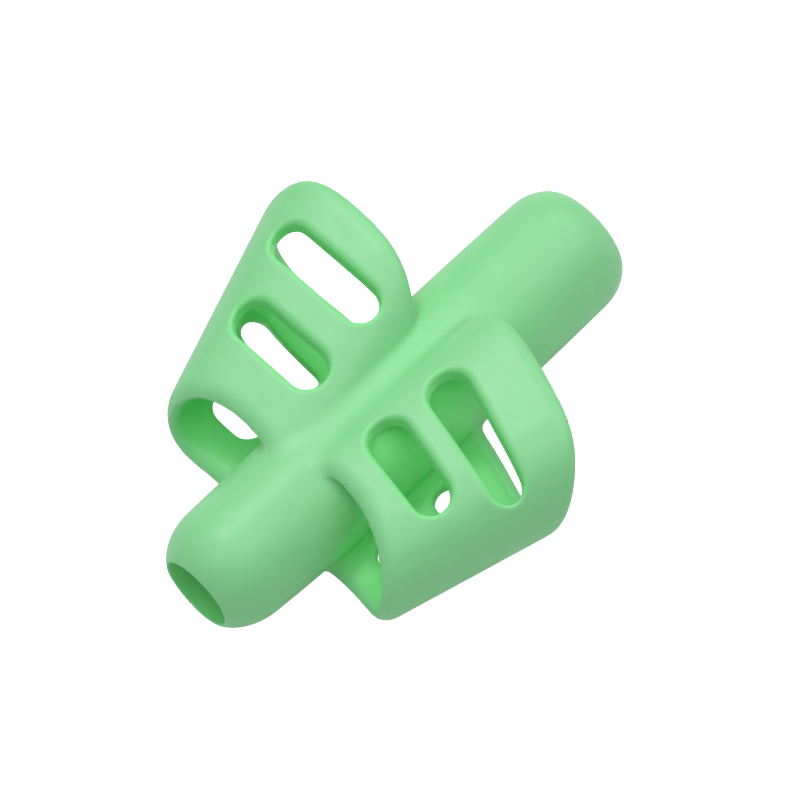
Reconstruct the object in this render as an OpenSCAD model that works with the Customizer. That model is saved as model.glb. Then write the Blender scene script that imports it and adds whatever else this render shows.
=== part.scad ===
// Soft silicone pencil grip with two open finger sleeves, one each side of a tubular barrel.
// The pencil runs along X with its tip end towards -X, the sleeves spread along Y, Z is up.
// The origin is on the pencil's axis, midway between the ends of the uncut barrel.

/* [Barrel] */
// Length of the barrel before the bore cuts its rounded ends
barrel_l = 54.6; // [46:0.2:60]
// Outside diameter at the tip end
barrel_near_d = 12.8; // [12:0.1:14]
// Outside diameter at the far end
barrel_far_d = 13.8; // [13:0.1:15]
// Radius of the rounded nose at the tip end
nose_round = 5.6; // [4.2:0.1:5.8]
// Radius of the rounded shoulder at the far end
tail_round = 3.7; // [2:0.1:4.4]
// Diameter of the bore that holds the pencil
bore_d = 7.6; // [7:0.1:8]
// Width of the flare at each mouth of the bore
mouth_flare = 0.5; // [0.3:0.1:0.8]

/* [Sleeve form] */
// Thickness of the sleeve wall
wall = 1.75; // [1.4:0.05:2.2]
// Where the narrow section stands along the barrel
near_x = -18; // [-19:0.5:-17.5]
// Half height of the narrow section
near_r = 5.5; // [5.2:0.1:5.8]
// Height of the narrow section's middle above the pencil's axis
near_z = 0.2; // [0:0.1:0.6]
// Distance from the axis to the narrow section's inner curve
near_root_y = 2.8; // [2.4:0.1:3.4]
// Distance from the axis to the narrow section's outer curve
near_tip_y = 9.4; // [8.8:0.1:10]
// Where the wide section stands along the barrel
far_x = 13; // [12.5:0.5:14]
// Half height of the wide section
far_r = 7.5; // [7:0.1:8]
// Height of the wide section's middle above the pencil's axis
far_z = 4.2; // [3.8:0.1:4.6]
// Distance from the axis to the wide section's inner curve
far_root_y = 9; // [8.5:0.1:9.6]
// Distance from the axis to the wide section's outer curve
far_tip_y = 17.5; // [16.5:0.1:18]

/* [Sleeve rims] */
// Height at which the places of the tip-end rims are given
near_rim_z = 2; // [1.6:0.1:2.4]
// Radius of a tip-end rim's sweep, seen from above
near_rim_r = 17; // [15:0.5:20]
// Lean of the tip-end rims away from upright, in degrees
near_rim_lean = 18; // [14:0.5:20]
// Hindmost place of the left sleeve's tip-end rim
left_near_rim_x = -13.6; // [-14:0.1:-13.2]
// Distance from the axis to the hindmost place on the left
left_near_rim_y = 8.2; // [7.6:0.1:8.8]
// Sideways lean of the left sleeve's tip-end rim, in degrees
left_near_tip = 3; // [0:0.5:6]
// Hindmost place of the right sleeve's tip-end rim
right_near_rim_x = -13.1; // [-13.5:0.1:-12.7]
// Distance from the axis to the hindmost place on the right
right_near_rim_y = 5.2; // [4.6:0.1:5.8]
// Sideways lean of the right sleeve's tip-end rim, in degrees
right_near_tip = 20; // [16:0.5:22]
// Place of the far rims at the height of the pencil's axis
far_rim_x = 5.7; // [5.2:0.1:6]
// Lean of the left sleeve's far rim away from upright, in degrees
left_far_lean = 20; // [16:0.5:22]
// Lean of the right sleeve's far rim away from upright, in degrees
right_far_lean = 24; // [20:0.5:25]
// Turn of the left sleeve's far rim, in degrees
left_far_turn = 1; // [0:0.5:5]
// Turn of the right sleeve's far rim, in degrees
right_far_turn = 17; // [14:0.5:19]
// Distance from the axis at which the far rims turn
rim_turn_y = 10; // [9:0.1:11]

/* [Slots over the finger] */
// Width of the slot nearer the tip
near_slot_w = 4.3; // [3.8:0.1:4.5]
// Length of the slot nearer the tip
near_slot_l = 11; // [10:0.1:11.4]
// Middle of the slot nearer the tip, from the axis
near_slot_y = 9.6; // [9.2:0.1:10]
// Width of the slot nearer the far end
far_slot_w = 4.1; // [3.6:0.1:4.4]
// Length of the slot nearer the far end
far_slot_l = 13.2; // [12:0.1:13.6]
// Middle of the slot nearer the far end, from the axis
far_slot_y = 11.6; // [11.2:0.1:12]
// Place along the barrel of the left sleeve's slot nearer the tip
left_near_slot_x = -4.6; // [-5:0.1:-4.2]
// Place along the barrel of the left sleeve's slot nearer the far end
left_far_slot_x = 3.3; // [2.9:0.1:3.6]
// Turn of the left sleeve's slots, in degrees
left_slot_turn = 0; // [-2:0.5:4]
// Place along the barrel of the right sleeve's slot nearer the tip
right_near_slot_x = -5.3; // [-5.6:0.1:-5]
// Place along the barrel of the right sleeve's slot nearer the far end
right_far_slot_x = 1; // [0.8:0.1:1.4]
// Turn of the right sleeve's slots, in degrees
right_slot_turn = 16; // [13:0.5:19]

/* [Slots under the finger] */
// Width of the underside slot nearer the tip
under_near_w = 4.2; // [3.8:0.1:4.4]
// Length of the underside slot nearer the tip
under_near_l = 6.2; // [5.6:0.1:6.6]
// Place along the barrel of the underside slot nearer the tip
under_near_x = -9.2; // [-9.6:0.1:-8.8]
// Middle of the underside slot nearer the tip, from the axis
under_near_y = 11.2; // [10.8:0.1:11.6]
// Width of the underside slot nearer the far end
under_far_w = 3; // [2.6:0.1:3.4]
// Length of the underside slot nearer the far end
under_far_l = 9.6; // [9:0.1:10]
// Place along the barrel of the underside slot nearer the far end
under_far_x = -2.4; // [-2.8:0.1:-2]
// Middle of the underside slot nearer the far end, from the axis
under_far_y = 13.3; // [13:0.1:13.6]

/* [Hidden] */

// How far each cutting shape runs past what it cuts
overrun = bore_d;
// Thickness of the thin discs that the sleeve's form is stretched over
disc_t = wall / 20;
$fn = 64;
hull_fn = 48;

barrel_near_r = barrel_near_d / 2;
barrel_far_r = barrel_far_d / 2;
bore_r = bore_d / 2;
mouth_r = bore_r + mouth_flare;
// Places along the barrel where the rounded ends begin, and where the bore's mouths lie
nose_x = -barrel_l / 2 + nose_round;
tail_x = barrel_l / 2 - tail_round;
nose_mouth_x = nose_x - sqrt(pow(nose_round, 2) - pow(mouth_r - barrel_near_r + nose_round, 2));
tail_mouth_x = tail_x + sqrt(pow(tail_round, 2) - pow(max(mouth_r - barrel_far_r + tail_round, 0), 2));
// Heights between which the side view of a sleeve is drawn
side_low_z = near_z - near_r - overrun;
side_high_z = far_z + far_r + overrun;

module along_x() {
    rotate([0, 90, 0])
        children();
}

// Half of the barrel's lengthwise section, radius along X and length along Y
module barrel_half_section() {
    polygon([
        [0, nose_x - nose_round],
        [barrel_near_r - nose_round, nose_x - nose_round],
        [barrel_near_r - nose_round, nose_x],
        [barrel_near_r, nose_x],
        [barrel_far_r, tail_x],
        [barrel_far_r - tail_round, tail_x],
        [barrel_far_r - tail_round, tail_x + tail_round],
        [0, tail_x + tail_round]
    ]);
    translate([barrel_near_r - nose_round, nose_x])
        circle(nose_round);
    translate([barrel_far_r - tail_round, tail_x])
        circle(tail_round);
}

// The barrel without its bore, which also trims the sleeves
module barrel_form() {
    along_x()
        rotate_extrude()
            intersection() {
                barrel_half_section();
                translate([0, -barrel_l])
                    square([barrel_far_d, 2 * barrel_l]);
            }
}

// Conical flare at a mouth of the bore, opening the way that outward points along X
module bore_flare(x, outward) {
    translate([x, 0, 0])
        rotate([0, outward * 90, 0])
            translate([0, 0, -mouth_flare])
                cylinder(h = 3 * mouth_flare, r1 = bore_r, r2 = bore_r + 3 * mouth_flare);
}

module barrel() {
    color("#8ff0a4")
        difference() {
            barrel_form();
            translate([-barrel_l / 2 - overrun, 0, 0])
                along_x()
                    cylinder(h = barrel_l + 2 * overrun, r = bore_r);
            bore_flare(nose_mouth_x, -1);
            bore_flare(tail_mouth_x, 1);
        }
}

// Thin disc across the barrel's direction, one corner of the sleeve's form
module form_disc(x, y, z, r) {
    translate([x, y, z])
        along_x()
            cylinder(h = disc_t, r = r, $fn = hull_fn);
}

// Flattened tube widening to the far end, drawn in by inset from the outer surface
module sleeve_form(inset) {
    hull() {
        form_disc(near_x, near_root_y, near_z, near_r - inset);
        form_disc(near_x, near_tip_y, near_z, near_r - inset);
        form_disc(far_x, far_root_y, far_z, far_r - inset);
        form_disc(far_x, far_tip_y, far_z, far_r - inset);
    }
}

// Leaning round block that sweeps out a tip-end rim; x and y are the rim's hindmost place
module ahead_of_near_rim(x, y, side_lean) {
    across = near_rim_r / cos(near_rim_lean);
    aside = near_rim_r * tan(side_lean) * tan(near_rim_lean);
    translate([x - across, y + aside, near_rim_z])
        rotate([side_lean, near_rim_lean, 0])
            cylinder(h = 2 * (side_high_z - side_low_z), r = near_rim_r, center = true);
}

// Where a far rim stands at height z
function far_rim_at(z, lean) = far_rim_x + z * tan(lean);

// What lies nearer the tip than a leaning far rim, turned about an upright line through the sleeve
module behind_far_rim(lean, turn) {
    translate([0, rim_turn_y, 0])
        rotate([0, 0, turn])
            rotate([90, 0, 0])
                linear_extrude(height = 2 * far_tip_y + 2 * overrun, center = true)
                    polygon([
                        [-barrel_l, side_low_z],
                        [-barrel_l, side_high_z],
                        [far_rim_at(side_high_z, lean), side_high_z],
                        [far_rim_at(side_low_z, lean), side_low_z]
                    ]);
}

// Upright prism with round ends, its length along Y before the turn
module slot_prism(x, y, w, l, turn, low_z, high_z) {
    straight = l - w;
    translate([x, y, low_z])
        rotate([0, 0, turn]) {
            translate([-w / 2, -straight / 2, 0])
                cube([w, straight, high_z - low_z]);
            translate([0, -straight / 2, 0])
                cylinder(h = high_z - low_z, d = w);
            translate([0, straight / 2, 0])
                cylinder(h = high_z - low_z, d = w);
        }
}

// What is cut from a sleeve for the finger, the barrel and the slots
module finger_and_slots(slot_turn, near_slot_x, far_slot_x) {
    sleeve_form(wall);
    barrel_form();
    slot_prism(near_slot_x, near_slot_y, near_slot_w, near_slot_l, slot_turn, near_z + wall, side_high_z);
    slot_prism(far_slot_x, far_slot_y, far_slot_w, far_slot_l, slot_turn, near_z + wall, side_high_z);
    slot_prism(under_near_x, under_near_y, under_near_w, under_near_l, 0, side_low_z, near_z);
    slot_prism(under_far_x, under_far_y, under_far_w, under_far_l, 0, side_low_z, near_z);
}

// The outer form of a sleeve on the +Y side, up to its far rim
module sleeve_block(far_lean, far_turn) {
    intersection() {
        sleeve_form(0);
        behind_far_rim(far_lean, far_turn);
        translate([-barrel_l, 0, side_low_z])
            cube([2 * barrel_l, barrel_l, side_high_z - side_low_z]);
    }
}

module left_finger_sleeve() {
    color("#86e89b")
        difference() {
            sleeve_block(left_far_lean, left_far_turn);
            ahead_of_near_rim(left_near_rim_x, left_near_rim_y, left_near_tip);
            finger_and_slots(left_slot_turn, left_near_slot_x, left_far_slot_x);
        }
}

module right_finger_sleeve() {
    color("#86e89b")
        mirror([0, 1, 0])
            difference() {
                sleeve_block(right_far_lean, right_far_turn);
                ahead_of_near_rim(right_near_rim_x, right_near_rim_y, right_near_tip);
                finger_and_slots(right_slot_turn, right_near_slot_x, right_far_slot_x);
            }
}

barrel();
left_finger_sleeve();
right_finger_sleeve();
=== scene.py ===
import math

import bpy
import numpy as np
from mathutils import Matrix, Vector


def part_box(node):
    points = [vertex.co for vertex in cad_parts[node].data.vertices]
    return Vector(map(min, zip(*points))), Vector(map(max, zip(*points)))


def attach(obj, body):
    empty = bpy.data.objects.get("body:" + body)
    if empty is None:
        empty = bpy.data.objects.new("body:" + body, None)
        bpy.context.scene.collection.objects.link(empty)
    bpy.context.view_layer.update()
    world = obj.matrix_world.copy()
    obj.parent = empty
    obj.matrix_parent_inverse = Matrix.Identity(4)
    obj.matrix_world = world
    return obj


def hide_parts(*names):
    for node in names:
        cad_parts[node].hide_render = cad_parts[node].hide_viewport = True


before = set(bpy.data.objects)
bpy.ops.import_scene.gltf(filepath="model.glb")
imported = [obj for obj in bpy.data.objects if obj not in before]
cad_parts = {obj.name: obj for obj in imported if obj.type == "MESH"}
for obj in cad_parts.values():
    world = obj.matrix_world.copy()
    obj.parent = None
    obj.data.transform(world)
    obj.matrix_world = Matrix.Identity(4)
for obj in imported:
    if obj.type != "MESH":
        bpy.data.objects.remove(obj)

import openvdb
from bpy.props import FloatProperty, FloatVectorProperty, PointerProperty, StringProperty
from mathutils import Matrix, Vector

bl_info = {
    "name": "Two-finger pencil grip",
    "version": (1, 0, 0),
    "blender": (4, 5, 0),
    "location": "3D View > Sidebar > Pencil grip",
    "description": "Builds a moulded silicone pencil grip with two slotted finger sleeves",
    "category": "Add Mesh",
}

# One millimetre in the metres that the scene is measured in
MM = 0.001
# The sides of the barrel that the sleeves spring from: the left one is on +Y
SIDES = {"left": 0, "right": 1}
# Keeps a division from meeting zero
TINY = 1e-9


# Settings

def mm(name, description, value, **more):
    """A length property whose default is given in millimetres."""
    return FloatProperty(name=name, description=description, default=value * MM, unit="LENGTH", **more)


def mm_pair(name, description, left, right):
    """A length for the left sleeve and one for the right, in millimetres."""
    return FloatVectorProperty(
        name=name, description=description + ", on the left and the right sleeve", size=2,
        default=(left * MM, right * MM), unit="LENGTH")


def pair(name, description, left, right):
    """A plain number for the left sleeve and one for the right."""
    return FloatVectorProperty(
        name=name, description=description + ", on the left and the right sleeve", size=2,
        default=(left, right))


def number(name, description, value, **more):
    """A plain number."""
    return FloatProperty(name=name, description=description, default=value, **more)


def angle(name, description, degrees):
    """An angle whose default is given in degrees."""
    return FloatProperty(
        name=name, description=description, default=math.radians(degrees), subtype="ANGLE")


def direction(name, parts):
    """The side of the grip that a lamp hangs on."""
    return FloatVectorProperty(
        name=name, description="Where it hangs: to the picture's right, up it, and towards the camera",
        size=3, default=parts, subtype="XYZ")


def colour(name, description, hex_value):
    """A colour written as an sRGB hex value."""
    return StringProperty(name=name, description=description, default=hex_value)


class GripBarrelSettings(bpy.types.PropertyGroup):
    """The tube that the pencil runs through."""
    nose_x: mm("Nose end", "Place of the end near the pencil's tip, before the mouth cuts into it", -26.87)
    tail_x: mm("Tail end", "Place of the other end, before the mouth cuts into it", 27.25)
    near_r: mm("Radius at the nose", "Outside radius at the end near the pencil's tip", 6.1)
    far_r: mm("Radius at the tail", "Outside radius at the other end", 6.65)
    belly: mm("Belly", "How much fuller the barrel is at mid length", 0.42)
    sway: mm("Sway", "How far the barrel's outside bends towards the right sleeve", 0.32)
    sway_x: mm("Sway middle", "Place where that bend is greatest", -13.0)
    sway_reach: mm("Sway reach", "Distance from there at which the bend has died away", 14.0)
    nose_slant: number("Nose slant", "How much further the nose reaches below than above", 0.035)
    nose_across: mm("Nose rounding, across", "How far in the nose's rounding goes", 3.7)
    nose_along: mm("Nose rounding, along", "How far back the nose's rounding goes", 5.3)
    tail_across: mm("Tail rounding, across", "How far in the tail's rounding goes", 2.9)
    tail_along: mm("Tail rounding, along", "How far back the tail's rounding goes", 4.2)
    bore_r: mm("Bore radius", "Radius of the hole for the pencil", 3.8)
    mouth_round: mm("Mouth rounding", "How softly the bore's mouths turn into the ends", 0.35)
    root_blend: mm("Root blend", "Width of the fillet between the barrel and a sleeve", 0.7)


class GripSleeveSettings(bpy.types.PropertyGroup):
    """The two open finger sleeves, each a tapered ring of one wall thickness."""
    wall: mm("Wall", "Wall thickness of a sleeve", 1.75)
    edge_round: mm("Rim rounding", "Width over which the rims are rounded", 1.6)
    slot_round: mm("Slot rounding", "Width over which the slots' edges are rounded", 0.6)
    slot_draft: number("Slot draft", "How fast the upper slots widen outwards through the wall", 0.22)
    centre_y: mm_pair("Centre, out", "How far out the section's middle lies at mid length", 10.32, 10.02)
    spread: pair("Spread", "How fast that middle moves out along the pencil", 0.247, 0.218)
    centre_z: mm_pair("Centre, up", "How high the section's middle lies at mid length", 2.61, 2.49)
    rise: pair("Rise", "How fast that middle rises along the pencil", 0.157, 0.104)
    half_w: mm_pair("Half width", "Half width of the section at mid length", 10.52, 10.67)
    widening: pair("Widening", "How fast the half width grows along the pencil", 0.074, 0.114)
    half_h: mm_pair("Half height", "Half height of the section at mid length", 6.60, 6.70)
    heightening: pair("Heightening", "How fast the half height grows along the pencil", 0.070, 0.060)
    crown: mm("Crown", "Width over which the flat top turns into the round sides", 4.0)
    rim_z: mm("Rim height", "Height at which the rims' places are given", 2.0)
    rim_y: mm("Rim width", "Distance out at which the rims' places are given", 10.0)
    near_x: mm_pair("Near rim", "Place of the rim near the nose", -13.68, -13.83)
    near_lean: pair("Near rim lean", "How far the near rim goes back for its height", 0.353, 0.323)
    near_bow: pair("Near rim bow", "How the near rim's lean grows, for each millimetre", 0.007, 0.011)
    near_sweep: pair("Near rim sweep", "How far the near rim goes forward outwards", 0.107, 0.299)
    near_curl: pair("Near rim curl", "How the near rim's sweep grows, for each millimetre", 0.029, 0.030)
    near_twist: pair("Near rim twist", "How its lean changes outwards, for each millimetre", -0.006, -0.022)
    far_x: mm_pair("Far rim", "Place of the rim near the tail", 6.20, 6.62)
    far_lean: pair("Far rim lean", "How far the far rim goes back for its height", 0.277, 0.430)
    far_bow: pair("Far rim bow", "How the far rim's lean grows, for each millimetre", 0.019, 0.003)
    far_sweep: pair("Far rim sweep", "How far the far rim goes forward outwards", -0.075, 0.305)
    far_curl: pair("Far rim curl", "How the far rim's sweep grows, for each millimetre", 0.011, 0.007)
    far_twist: pair("Far rim twist", "How its lean changes outwards, for each millimetre", 0.003, 0.003)


class GripSlotSettings(bpy.types.PropertyGroup):
    """The vent slots: two over each finger and two under it."""
    near_x: mm_pair("Near slot, along", "Place of the upper slot near the nose", -4.45, -5.51)
    near_y: mm_pair("Near slot, out", "Its distance out", 9.57, 8.92)
    near_l: mm_pair("Near slot, half length", "Half its length", 5.67, 5.39)
    near_w: mm_pair("Near slot, half width", "Half its width", 2.01, 1.99)
    near_turn: pair("Near slot, turn", "How far it is turned, in degrees", -1.2, 12.2)
    near_taper: pair("Near slot, taper", "How fast its half width shrinks outwards", 0.0, 0.03)
    far_x: mm_pair("Far slot, along", "Place of the upper slot near the tail", 3.36, 0.68)
    far_y: mm_pair("Far slot, out", "Its distance out", 11.20, 11.76)
    far_l: mm_pair("Far slot, half length", "Half its length", 6.60, 6.99)
    far_w: mm_pair("Far slot, half width", "Half its width", 1.84, 1.84)
    far_turn: pair("Far slot, turn", "How far it is turned, in degrees", -0.9, 16.6)
    far_taper: pair("Far slot, taper", "How fast its half width shrinks outwards", 0.0, 0.05)
    under_near_x: mm_pair("Near underslot, along", "Place of the lower slot near the nose", -9.02, -9.41)
    under_near_y: mm_pair("Near underslot, out", "Its distance out", 12.20, 11.46)
    under_near_l: mm_pair("Near underslot, half length", "Half its length", 3.05, 3.69)
    under_near_w: mm_pair("Near underslot, half width", "Half its width", 1.97, 2.00)
    under_near_turn: pair("Near underslot, turn", "How far it is turned, in degrees", 1.2, 0.8)
    under_far_x: mm_pair("Far underslot, along", "Place of the lower slot near the tail", -2.49, -1.97)
    under_far_y: mm_pair("Far underslot, out", "Its distance out", 13.26, 13.24)
    under_far_l: mm_pair("Far underslot, half length", "Half its length", 4.95, 5.08)
    under_far_w: mm_pair("Far underslot, half width", "Half its width", 1.43, 1.66)
    under_far_turn: pair("Far underslot, turn", "How far it is turned, in degrees", -3.8, -2.1)


class GripFinishSettings(bpy.types.PropertyGroup):
    """The silicone and how finely the moulding is drawn."""
    mint: colour("Mint", "Pigmented silicone", "#96e7a4")
    mint_deep: colour("Deep mint", "Silicone where the pigment is denser", "#8ce29b")
    # Painted glow: a fuller green painted inside the sleeves, slots and bore, in place of light that comes
    # through the wall
    mint_painted_glow: colour("Mint, lit through", "Silicone inside the sleeves, slots and bore", "#8df59b")
    cloud: mm("Clouding", "Size of the slow changes of colour", 6.0)
    ior: number("IOR", "How strongly silicone rubber bends light", 1.41)
    roughness: number("Roughness", "Satin of the mould's surface", 0.34, min=0, max=1)
    wander: number("Roughness wander", "How far the roughness goes up and down with the grain", 0.06)
    # The mould's own texture is several times finer, and is drawn this coarse so that it shows
    grain: mm("Grain", "Spacing of the fine texture left by the mould", 0.25)
    grain_depth: mm("Grain depth", "Height of the fine texture", 0.03)
    grain_strength: number("Grain strength", "How clearly the fine texture shows", 0.12)
    ripple: mm("Ripple", "Spacing of the shallow ripples in the mould's surface", 2.5)
    ripple_depth: mm("Ripple depth", "Height of the ripples", 0.25)
    ripple_strength: number("Ripple strength", "How clearly the ripples show", 0.35)
    pitch: mm("Mesh pitch", "Distance between the mesh's points", 0.22)


class GripStageSettings(bpy.types.PropertyGroup):
    """Floor, lamps and camera."""
    floor: colour("Floor", "Paper that the grip lies on", "#f4f4f4")
    floor_half: mm("Floor size", "Half the side of the floor", 600.0)
    wide_power: number("Wide lamp", "Power of the large diffuser", 2.5, unit="POWER")
    wide_size: mm("Wide lamp size", "Width of the large diffuser", 900.0)
    wide_from: direction("Wide lamp side", (0.0, 0.64, 0.77))
    key_power: number("Key lamp", "Power of the lamp that gives the highlights", 0.26, unit="POWER")
    key_size: mm("Key lamp size", "Width of the lamp that gives the highlights", 110.0)
    key_from: direction("Key lamp side", (-0.30, 0.68, 0.66))
    lamp_reach: mm("Lamp distance", "Distance of both lamps", 450.0)
    fill: number("Fill", "Strength of the even light all round", 0.2)
    distance: mm("Camera distance", "From the aim point to the camera", 454.5)
    aim: FloatVectorProperty(
        name="Aim point", description="The point at the middle of the picture", size=3,
        default=(1.416 * MM, 0.295 * MM, 0.0), subtype="XYZ", unit="LENGTH")
    view_width: mm("View width", "Width of the picture at the aim point", 76.92)
    swing: angle("Swing", "How far the camera swings along the pencil", 16.32)
    tilt: angle("Tilt", "How far the camera tips towards the right sleeve", 23.68)
    roll: angle("Roll", "How far the camera is rolled about its view", 43.0)


class GripSettings(bpy.types.PropertyGroup):
    """All settings of the grip, kept on the scene."""
    barrel: PointerProperty(type=GripBarrelSettings, name="Barrel", description="Barrel sizes")
    sleeve: PointerProperty(type=GripSleeveSettings, name="Sleeves", description="Sleeve sizes")
    slot: PointerProperty(type=GripSlotSettings, name="Slots", description="Slot sizes")
    finish: PointerProperty(type=GripFinishSettings, name="Finish", description="Material and mesh")
    stage: PointerProperty(type=GripStageSettings, name="Stage", description="Floor, light and camera")


def hex_to_linear(value):
    """An sRGB hex value as linear red, green, blue and alpha."""
    parts = [int(value[i:i + 2], 16) / 255 for i in (1, 3, 5)]
    linear = [c / 12.92 if c <= 0.04045 else ((c + 0.055) / 1.055) ** 2.4 for c in parts]
    return (*linear, 1.0)


# Shape

def soft_union(a, b, blend):
    """The nearer of two distances, with a fillet of that width between them."""
    h = np.maximum(blend - np.abs(a - b), 0) / blend
    return np.minimum(a, b) - h * h * blend * 0.25


def soft_cut(a, b, blend):
    """The further of two distances, with the edge between them rounded over that width."""
    return -soft_union(-a, -b, blend)


def rounded_end(a, b, across, along):
    """Distance to an edge rounded as a quarter ellipse; a and b are measured from the ellipse's centre."""
    over_a, over_b = np.maximum(a, 0), np.maximum(b, 0)
    reach = np.hypot(over_a / across, over_b / along)
    bend = np.hypot(over_a / across ** 2, over_b / along ** 2) + TINY
    return np.where(reach > 0, reach * (reach - 1) / bend, np.maximum(a - across, b - along))


def outwards(y, side):
    """A place across the grip, measured outwards on the side of a sleeve."""
    return y if side == SIDES["left"] else -y


def barrel_distance(x, y, z, barrel):
    """Distance to the barrel's outside, and the distance from the pencil's axis."""
    middle, half = (barrel.tail_x + barrel.nose_x) / 2, (barrel.tail_x - barrel.nose_x) / 2
    share = (x - middle) / half
    out = (barrel.near_r + barrel.far_r + (barrel.far_r - barrel.near_r) * share) / 2
    out = out + barrel.belly * (1 - share ** 2)
    sway = barrel.sway * np.maximum(1 - ((x - barrel.sway_x) / barrel.sway_reach) ** 2, 0) ** 2
    at_nose = x < middle
    across = np.where(at_nose, barrel.nose_across, barrel.tail_across)
    along = np.where(at_nose, barrel.nose_along, barrel.tail_along)
    past_end = np.abs(x - middle) - half + np.where(at_nose, barrel.nose_slant * z, 0)
    outside = rounded_end(np.hypot(y + sway, z) - out + across, past_end + along, across, along)
    return outside, np.hypot(y, z)


def slot_distance(x, y, slot, kind, side):
    """Distance to a slot's outline, seen from above."""
    at_x, at_y, half_l, half_w, turn = (
        getattr(slot, f"{kind}_{n}")[side] for n in ("x", "y", "l", "w", "turn"))
    # The lower slots have no taper
    taper = getattr(slot, f"{kind}_taper", (0, 0))[side]
    turn = -math.radians(turn)
    along = (x - at_x) * math.sin(turn) + (y - at_y) * math.cos(turn)
    across = (x - at_x) * math.cos(turn) - (y - at_y) * math.sin(turn)
    shrink = taper * np.clip(along, -half_l, half_l)
    return np.hypot(np.maximum(np.abs(along) - (half_l - half_w), 0), across) - half_w + shrink


def rim_place(sleeve, which, side, out, up):
    """Where a rim lies along the pencil, for its distance out and its height."""
    x, lean, bow, sweep, curl, twist = (
        getattr(sleeve, f"{which}_{n}")[side] for n in ("x", "lean", "bow", "sweep", "curl", "twist"))
    return x + lean * up - sweep * out + (bow * up ** 2 - curl * out ** 2 + twist * up * out) / MM


# The least half height of a section, and the least distance from its core that is divided by
LEAST_HALF = MM
LEAST_CORE = MM / 2
# How far from the wall's middle a rim stays square to it, and the places out and up that it is drawn for
WALL_REACH = 3 * MM
RIM_OUT = (-4 * MM, 24 * MM)
RIM_UP = (-8 * MM, 12 * MM)
# The rims lean, so that a distance along the pencil is longer than the way to them, by about this much
RIM_SLANT = 0.9


def sleeve_section(x, y, z, s, side):
    """Distances from the middle of a sleeve's wall and from its rims, and the height over its middle."""
    dy = y - s.centre_y[side] - s.spread[side] * x
    dz = z - s.centre_z[side] - s.rise[side] * x
    half_h = np.maximum(s.half_h[side] + s.heightening[side] * x, LEAST_HALF)
    half_w = np.maximum(s.half_w[side] + s.widening[side] * x, half_h)
    past_flat = soft_cut(np.abs(dy) - half_w + half_h, 0, s.crown)
    from_core = np.hypot(past_flat, dz)
    # The rims are judged on the middle of the wall, so that they are cut square to it
    off_wall = from_core - half_h + s.wall / 2
    shift = np.clip(off_wall, -WALL_REACH, WALL_REACH) / np.maximum(from_core, LEAST_CORE)
    out = np.clip(y - shift * past_flat * np.sign(dy), *RIM_OUT) - s.rim_y
    up = np.clip(z - shift * dz, *RIM_UP) - s.rim_z
    near = (rim_place(s, "near", side, out, up) - x) * RIM_SLANT
    far = (x - rim_place(s, "far", side, out, up)) * RIM_SLANT
    return off_wall, near, far, dz


def slots_distance(x, y, dz, off_wall, grip, side):
    """Distance to the nearest slot of a sleeve, over the finger or under it."""
    s = grip.sleeve
    near, far, under_near, under_far = (
        slot_distance(x, y, grip.slot, kind, side) for kind in ("near", "far", "under_near", "under_far"))
    over = np.minimum(near, far) - s.slot_draft * np.clip(off_wall, -s.wall, s.wall)
    under = np.minimum(under_near, under_far)
    return np.minimum(np.maximum(over, -dz), np.maximum(under, dz))


def sleeve_distance(x, y, z, grip, side):
    """Distance to a sleeve's wall with its rims and slots; y is measured outwards."""
    s = grip.sleeve
    off_wall, near, far, dz = sleeve_section(x, y, z, s, side)
    wall = soft_cut(soft_cut(np.abs(off_wall) - s.wall / 2, near, s.edge_round), far, s.edge_round)
    return soft_cut(wall, -slots_distance(x, y, dz, off_wall, grip, side), s.slot_round)


def moulding_distance(x, y, z, grip):
    """Distance to the whole moulding, fillets and bore included."""
    body, r = barrel_distance(x, y, z, grip.barrel)
    for side in SIDES.values():
        sleeve = sleeve_distance(x, outwards(y, side), z, grip, side)
        body = soft_union(body, sleeve, grip.barrel.root_blend)
    return soft_cut(body, grip.barrel.bore_r - r, grip.barrel.mouth_round)


def barrel_piece(x, y, z, grip):
    """Distance to the barrel by itself, with its bore."""
    body, r = barrel_distance(x, y, z, grip.barrel)
    return soft_cut(body, grip.barrel.bore_r - r, grip.barrel.mouth_round)


# The fillet is sunk this far under the barrel, and the root goes that much deeper
SEAM_SINK = 0.01 * MM
ROOT_DEPTH = 0.8 * MM
# Share of the fillet's width at which its piece ends
FILLET_END = 0.95


def sleeve_piece(x, y, z, grip, side):
    """Distance to a sleeve with its fillet on the barrel and a root just under the barrel's skin."""
    body = barrel_distance(x, y, z, grip.barrel)[0]
    sleeve = sleeve_distance(x, outwards(y, side), z, grip, side)
    filleted = soft_union(body + SEAM_SINK, sleeve, grip.barrel.root_blend)
    edge = np.maximum(-(body + ROOT_DEPTH), sleeve - grip.barrel.root_blend * FILLET_END)
    return np.maximum(filleted, edge)


# Depths over which the painted glow, a fuller green standing in for light come through the wall, comes in,
# at the bore, behind a rim and at a slot's face
BORE_FADE = 0.4 * MM
RIM_FADE = 2 * MM
SLOT_FADE = 0.5 * MM
# Through the wall it starts this far outside the middle, and is full this much further in
WALL_START = 0.3 * MM
WALL_FADE = MM
# Further out than this from the wall's middle there is no slot face
SLOT_REACH = 2 * MM


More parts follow.
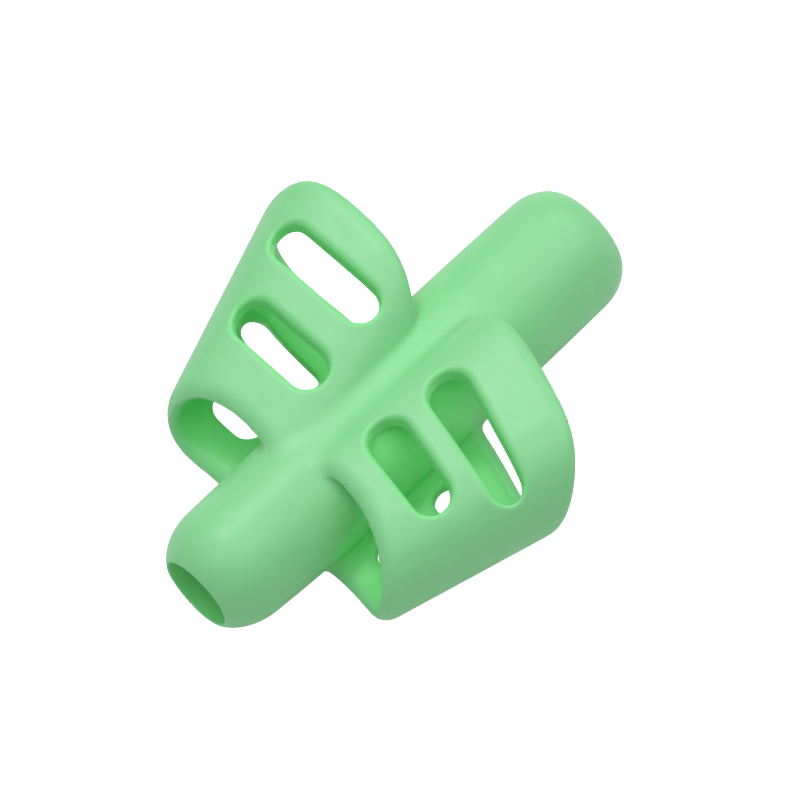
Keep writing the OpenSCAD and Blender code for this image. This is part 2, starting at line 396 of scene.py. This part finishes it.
def shelter(x, y, z, grip):
    """Share of painted glow from 0 to 1: how far inside a sleeve, a slot or the bore a point of the surface
    lies.
    """
    share = np.clip((grip.barrel.bore_r + BORE_FADE - np.hypot(y, z)) / BORE_FADE, 0, 1)
    for side in SIDES.values():
        outward = outwards(y, side)
        off_wall, near, far, dz = sleeve_section(x, outward, z, grip.sleeve, side)
        past_rims = np.clip(-np.maximum(near, far) / RIM_FADE, 0, 1)
        inside = np.clip((WALL_START - off_wall) / WALL_FADE, 0, 1)
        from_slot = slots_distance(x, outward, dz, off_wall, grip, side)
        in_slot = np.clip(1 - from_slot / SLOT_FADE, 0, 1) * (off_wall < SLOT_REACH)
        share = np.maximum(share, np.maximum(inside, in_slot) * past_rims)
    return share


# Mesh

# Distance over which a slope is measured
SLOPE_STEP = 0.02 * MM
# Steps of the mesh's pitch that the field reaches on each side of the surface
BAND = 3.0
# How often the points are brought closer to the surface, and the share of the way that they go
SETTLINGS = 3
SETTLE_SHARE = 0.9
# Room round the solids' boxes in which the pieces are drawn
BARREL_MARGIN = Vector((2 * MM, 2 * MM, 2 * MM))
SLEEVE_MARGIN = Vector((4 * MM, 4 * MM, 4 * MM))


def slope(distance, points):
    """Gradient of a distance function at points, and its length."""
    columns = []
    for axis in range(3):
        shift = np.zeros(3)
        shift[axis] = SLOPE_STEP
        ahead, behind = points + shift, points - shift
        columns.append((distance(*ahead.T) - distance(*behind.T)) / (2 * SLOPE_STEP))
    gradient = np.stack(columns, 1)
    return gradient, np.linalg.norm(gradient, axis=1)[:, None] + TINY


def skin(name, distance, low, high, grip):
    """A closed mesh of a distance function's zero surface, shaded by the whole moulding's slope."""
    pitch = grip.finish.pitch
    counts = [int(math.ceil((h - l) / pitch)) + 1 for l, h in zip(low, high)]
    axes = [l + pitch * np.arange(n) for l, n in zip(low, counts)]
    field = np.empty(counts, np.float32)
    for i, x in enumerate(axes[0]):
        y, z = np.meshgrid(axes[1], axes[2], indexing="ij")
        field[i] = distance(np.full_like(y, x), y, z) / pitch
    grid = openvdb.FloatGrid(BAND)
    grid.copyFromArray(np.clip(field, -BAND, BAND))
    points, quads = grid.convertToQuads(0.0)
    points = np.asarray(low) + points.astype(float) * pitch
    for _ in range(SETTLINGS):
        gradient, length = slope(distance, points)
        way = np.clip(distance(*points.T)[:, None] / length, -pitch, pitch)
        points -= way * gradient / length * SETTLE_SHARE
    quads = quads.astype(int)
    corner = points[quads[:, 1]] - points[quads[:, 0]], points[quads[:, 3]] - points[quads[:, 0]]
    gradient, length = slope(distance, points)
    faces_out = np.einsum("ij,ij->i", np.cross(*corner), gradient[quads[:, 0]])
    if faces_out.sum() < 0:
        quads = quads[:, ::-1]
    mesh = bpy.data.meshes.new(name)
    mesh.from_pydata(points.tolist(), [], quads.tolist())
    mesh.validate()
    mesh.polygons.foreach_set("use_smooth", [True] * len(mesh.polygons))
    gradient, length = slope(lambda x, y, z: moulding_distance(x, y, z, grip), points)
    mesh.normals_split_custom_set_from_vertices((gradient / length).tolist())
    # Painted glow: each point's share of the fuller green that stands in for light come through the wall
    painted_glow_layer = mesh.attributes.new("shelter", "FLOAT", "POINT")
    painted_glow_layer.data.foreach_set("value", shelter(*points.T, grip).astype(np.float32))
    piece = bpy.data.objects.new(name, mesh)
    bpy.context.scene.collection.objects.link(piece)
    return piece


# Materials

# Numbers of the colour mixing node's inputs and of its output
MIX_SHARE, MIX_FIRST, MIX_SECOND, MIX_RESULT = 0, 6, 7, 2


def node(tree, kind, inputs=(), **settings):
    """Adds a node, sets its attributes, and links each input to a socket or gives it a value."""
    added = tree.nodes.new(kind)
    for key, value in settings.items():
        setattr(added, key, value)
    for key, value in dict(inputs).items():
        if isinstance(value, bpy.types.NodeSocket):
            tree.links.new(value, added.inputs[key])
        else:
            added.inputs[key].default_value = value
    return added


def new_material(name):
    """An empty material and its node tree."""
    material = bpy.data.materials.new(name)
    material.use_nodes = True
    material.node_tree.nodes.clear()
    return material, material.node_tree


def moulded_silicone(finish):
    """Mint silicone rubber from a satin mould: soft broad highlights, slightly clouded pigment, and a
    painted glow inside the sleeves, slots and bore.
    """
    made = bpy.data.materials.get("Moulded silicone rubber")
    if made:
        return made
    material, tree = new_material("Moulded silicone rubber")
    place = node(tree, "ShaderNodeTexCoord").outputs["Object"]
    cloud = node(tree, "ShaderNodeTexNoise", {"Vector": place, "Scale": 1 / finish.cloud, "Detail": 3.0})
    tint = node(tree, "ShaderNodeMix", {
        MIX_SHARE: cloud.outputs["Fac"],
        MIX_FIRST: hex_to_linear(finish.mint),
        MIX_SECOND: hex_to_linear(finish.mint_deep)}, data_type="RGBA")
    # Painted glow: inside, a fuller green is mixed into the pigment colour in place of the light that comes
    # through the wall
    inside = node(tree, "ShaderNodeAttribute", attribute_name="shelter")
    pigment = node(tree, "ShaderNodeMix", {
        MIX_SHARE: inside.outputs["Fac"],
        MIX_FIRST: tint.outputs[MIX_RESULT],
        MIX_SECOND: hex_to_linear(finish.mint_painted_glow)}, data_type="RGBA")
    grain = node(tree, "ShaderNodeTexNoise", {"Vector": place, "Scale": 1 / finish.grain, "Detail": 2.0})
    ripple = node(
        tree, "ShaderNodeTexNoise", {"Vector": place, "Scale": 1 / finish.ripple, "Detail": 1.0})
    waves = node(tree, "ShaderNodeBump", {
        "Height": ripple.outputs["Fac"],
        "Strength": finish.ripple_strength, "Distance": finish.ripple_depth})
    bump = node(tree, "ShaderNodeBump", {
        "Height": grain.outputs["Fac"], "Normal": waves.outputs["Normal"],
        "Strength": finish.grain_strength, "Distance": finish.grain_depth})
    satin = node(tree, "ShaderNodeMapRange", {
        "Value": grain.outputs["Fac"],
        "To Min": finish.roughness - finish.wander, "To Max": finish.roughness + finish.wander})
    surface = node(tree, "ShaderNodeBsdfPrincipled", {
        "Base Color": pigment.outputs[MIX_RESULT], "Roughness": satin.outputs["Result"],
        "Normal": bump.outputs["Normal"], "IOR": finish.ior})
    node(tree, "ShaderNodeOutputMaterial", {"Surface": surface.outputs["BSDF"]})
    return material


def matt_paper(stage):
    """Plain white paper: it takes the grip's shadow, and looks white from the camera."""
    material, tree = new_material("Matt white paper")
    matt = node(tree, "ShaderNodeBsdfDiffuse", {"Color": hex_to_linear(stage.floor)})
    seen = node(tree, "ShaderNodeLightPath").outputs["Is Camera Ray"]
    glow = node(tree, "ShaderNodeEmission", {"Strength": seen})
    both = node(tree, "ShaderNodeAddShader", {0: matt.outputs[0], 1: glow.outputs[0]})
    node(tree, "ShaderNodeOutputMaterial", {"Surface": both.outputs[0]})
    return material


# Pieces

def dress(piece, grip, cad_node):
    """Gives a piece its silicone and puts it in the place of its CAD node."""
    piece.data.materials.append(moulded_silicone(grip.finish))
    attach(piece, "root")
    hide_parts(cad_node)


class GRIP_OT_barrel(bpy.types.Operator):
    """Builds the barrel with its rounded ends and pencil bore"""
    bl_idname = "grip.barrel"
    bl_label = "Barrel"

    def execute(self, context):
        grip = context.scene.pencil_grip
        low, high = (Vector(c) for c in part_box("barrel"))
        piece = skin(
            "barrel_moulding", lambda x, y, z: barrel_piece(x, y, z, grip),
            low - BARREL_MARGIN, high + BARREL_MARGIN, grip)
        dress(piece, grip, "barrel")
        return {"FINISHED"}


class GRIP_OT_sleeves(bpy.types.Operator):
    """Builds the two slotted finger sleeves with their fillets on the barrel"""
    bl_idname = "grip.sleeves"
    bl_label = "Finger sleeves"

    def execute(self, context):
        grip = context.scene.pencil_grip
        for name, side in SIDES.items():
            low, high = (Vector(c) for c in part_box(f"{name}_finger_sleeve"))
            piece = skin(
                f"{name}_sleeve_moulding", lambda x, y, z: sleeve_piece(x, y, z, grip, side),
                low - SLEEVE_MARGIN, high + SLEEVE_MARGIN, grip)
            dress(piece, grip, f"{name}_finger_sleeve")
        return {"FINISHED"}


# Stage

# Width of the camera's sensor in its own millimetres, and the nearest and furthest that it sees
SENSOR_WIDTH = 36.0
NEAREST = 10 * MM
FURTHEST = 10000 * MM


def view_axes(stage):
    """The picture's right and up, and the way from the aim point to the camera."""
    away = Vector((
        -math.sin(stage.swing),
        -math.cos(stage.swing) * math.sin(stage.tilt),
        math.cos(stage.swing) * math.cos(stage.tilt)))
    along = (Vector((1, 0, 0)) - away * away.x).normalized()
    across = along.cross(away)
    right = along * math.cos(stage.roll) + across * math.sin(stage.roll)
    up = along * math.sin(stage.roll) - across * math.cos(stage.roll)
    return right, up, away


def add_camera(scene, stage):
    """The camera at the picture's angle."""
    right, up, away = view_axes(stage)
    camera = bpy.data.objects.new("Camera", bpy.data.cameras.new("Camera"))
    camera.data.sensor_width = SENSOR_WIDTH
    camera.data.lens = SENSOR_WIDTH * stage.distance / stage.view_width
    camera.data.clip_start = NEAREST
    camera.data.clip_end = FURTHEST
    turn = Matrix((right, up, away)).transposed().to_4x4()
    camera.matrix_world = Matrix.Translation(Vector(stage.aim) + away * stage.distance) @ turn
    scene.collection.objects.link(camera)
    scene.camera = camera


def add_floor(scene, stage):
    """The paper, which touches the barrel's underside."""
    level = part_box("barrel")[0][2]
    half = stage.floor_half
    corners = [(x * half, y * half, level) for x, y in ((-1, -1), (1, -1), (1, 1), (-1, 1))]
    mesh = bpy.data.meshes.new("floor")
    mesh.from_pydata(corners, [], [(0, 1, 2, 3)])
    mesh.materials.append(matt_paper(stage))
    floor = bpy.data.objects.new("floor", mesh)
    scene.collection.objects.link(floor)


def add_lamp(scene, stage, name, side, size, power):
    """A round soft lamp that hangs on a side of the grip and faces it."""
    toward = sum((axis * part for axis, part in zip(view_axes(stage), side)), Vector()).normalized()
    lamp = bpy.data.lights.new(name, "AREA")
    lamp.shape = "DISK"
    lamp.size = size
    lamp.energy = power
    holder = bpy.data.objects.new(name, lamp)
    turn = toward.to_track_quat("Z", "Y").to_matrix().to_4x4()
    holder.matrix_world = Matrix.Translation(toward * stage.lamp_reach) @ turn
    scene.collection.objects.link(holder)


def add_world(scene, stage):
    """Even light all round: white where the camera looks, and dimmer in the light that it gives."""
    world = bpy.data.worlds.new("Even studio light")
    world.use_nodes = True
    tree = world.node_tree
    seen = node(tree, "ShaderNodeLightPath").outputs["Is Camera Ray"]
    strength = node(tree, "ShaderNodeMath", {0: seen, 1: stage.fill}, operation="MAXIMUM")
    background = tree.nodes["Background"]
    background.inputs["Color"].default_value = (1, 1, 1, 1)
    tree.links.new(strength.outputs[0], background.inputs["Strength"])
    scene.world = world


class GRIP_OT_stage(bpy.types.Operator):
    """Sets out the floor, the soft lamps and the camera"""
    bl_idname = "grip.stage"
    bl_label = "Stage"

    def execute(self, context):
        scene = context.scene
        stage = scene.pencil_grip.stage
        scene.view_settings.view_transform = "Standard"
        add_camera(scene, stage)
        add_floor(scene, stage)
        add_lamp(scene, stage, "Large diffuser", stage.wide_from, stage.wide_size, stage.wide_power)
        add_lamp(scene, stage, "Key lamp", stage.key_from, stage.key_size, stage.key_power)
        add_world(scene, stage)
        return {"FINISHED"}


class GRIP_PT_panel(bpy.types.Panel):
    """Lists the grip's pieces and their settings"""
    bl_idname = "GRIP_PT_panel"
    bl_label = "Pencil grip"
    bl_space_type = "VIEW_3D"
    bl_region_type = "UI"
    bl_category = "Pencil grip"

    def draw(self, context):
        layout = self.layout
        grip = context.scene.pencil_grip
        for operator in (GRIP_OT_barrel, GRIP_OT_sleeves, GRIP_OT_stage):
            layout.operator(operator.bl_idname)
        for group in (grip.barrel, grip.sleeve, grip.slot, grip.finish, grip.stage):
            column = layout.column(align=True)
            for key in group.__annotations__:
                column.prop(group, key)


CLASSES = (
    GripBarrelSettings, GripSleeveSettings, GripSlotSettings, GripFinishSettings, GripStageSettings,
    GripSettings, GRIP_OT_barrel, GRIP_OT_sleeves, GRIP_OT_stage, GRIP_PT_panel)


def register():
    for cls in CLASSES:
        bpy.utils.register_class(cls)
    bpy.types.Scene.pencil_grip = PointerProperty(
        type=GripSettings, name="Pencil grip", description="Sizes, finish and stage of the pencil grip")


def unregister():
    del bpy.types.Scene.pencil_grip
    for cls in reversed(CLASSES):
        bpy.utils.unregister_class(cls)


def main():
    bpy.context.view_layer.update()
    register()
    bpy.ops.grip.barrel()
    bpy.ops.grip.sleeves()
    bpy.ops.grip.stage()
    bpy.context.view_layer.update()


if __name__ == "__main__":
    main()
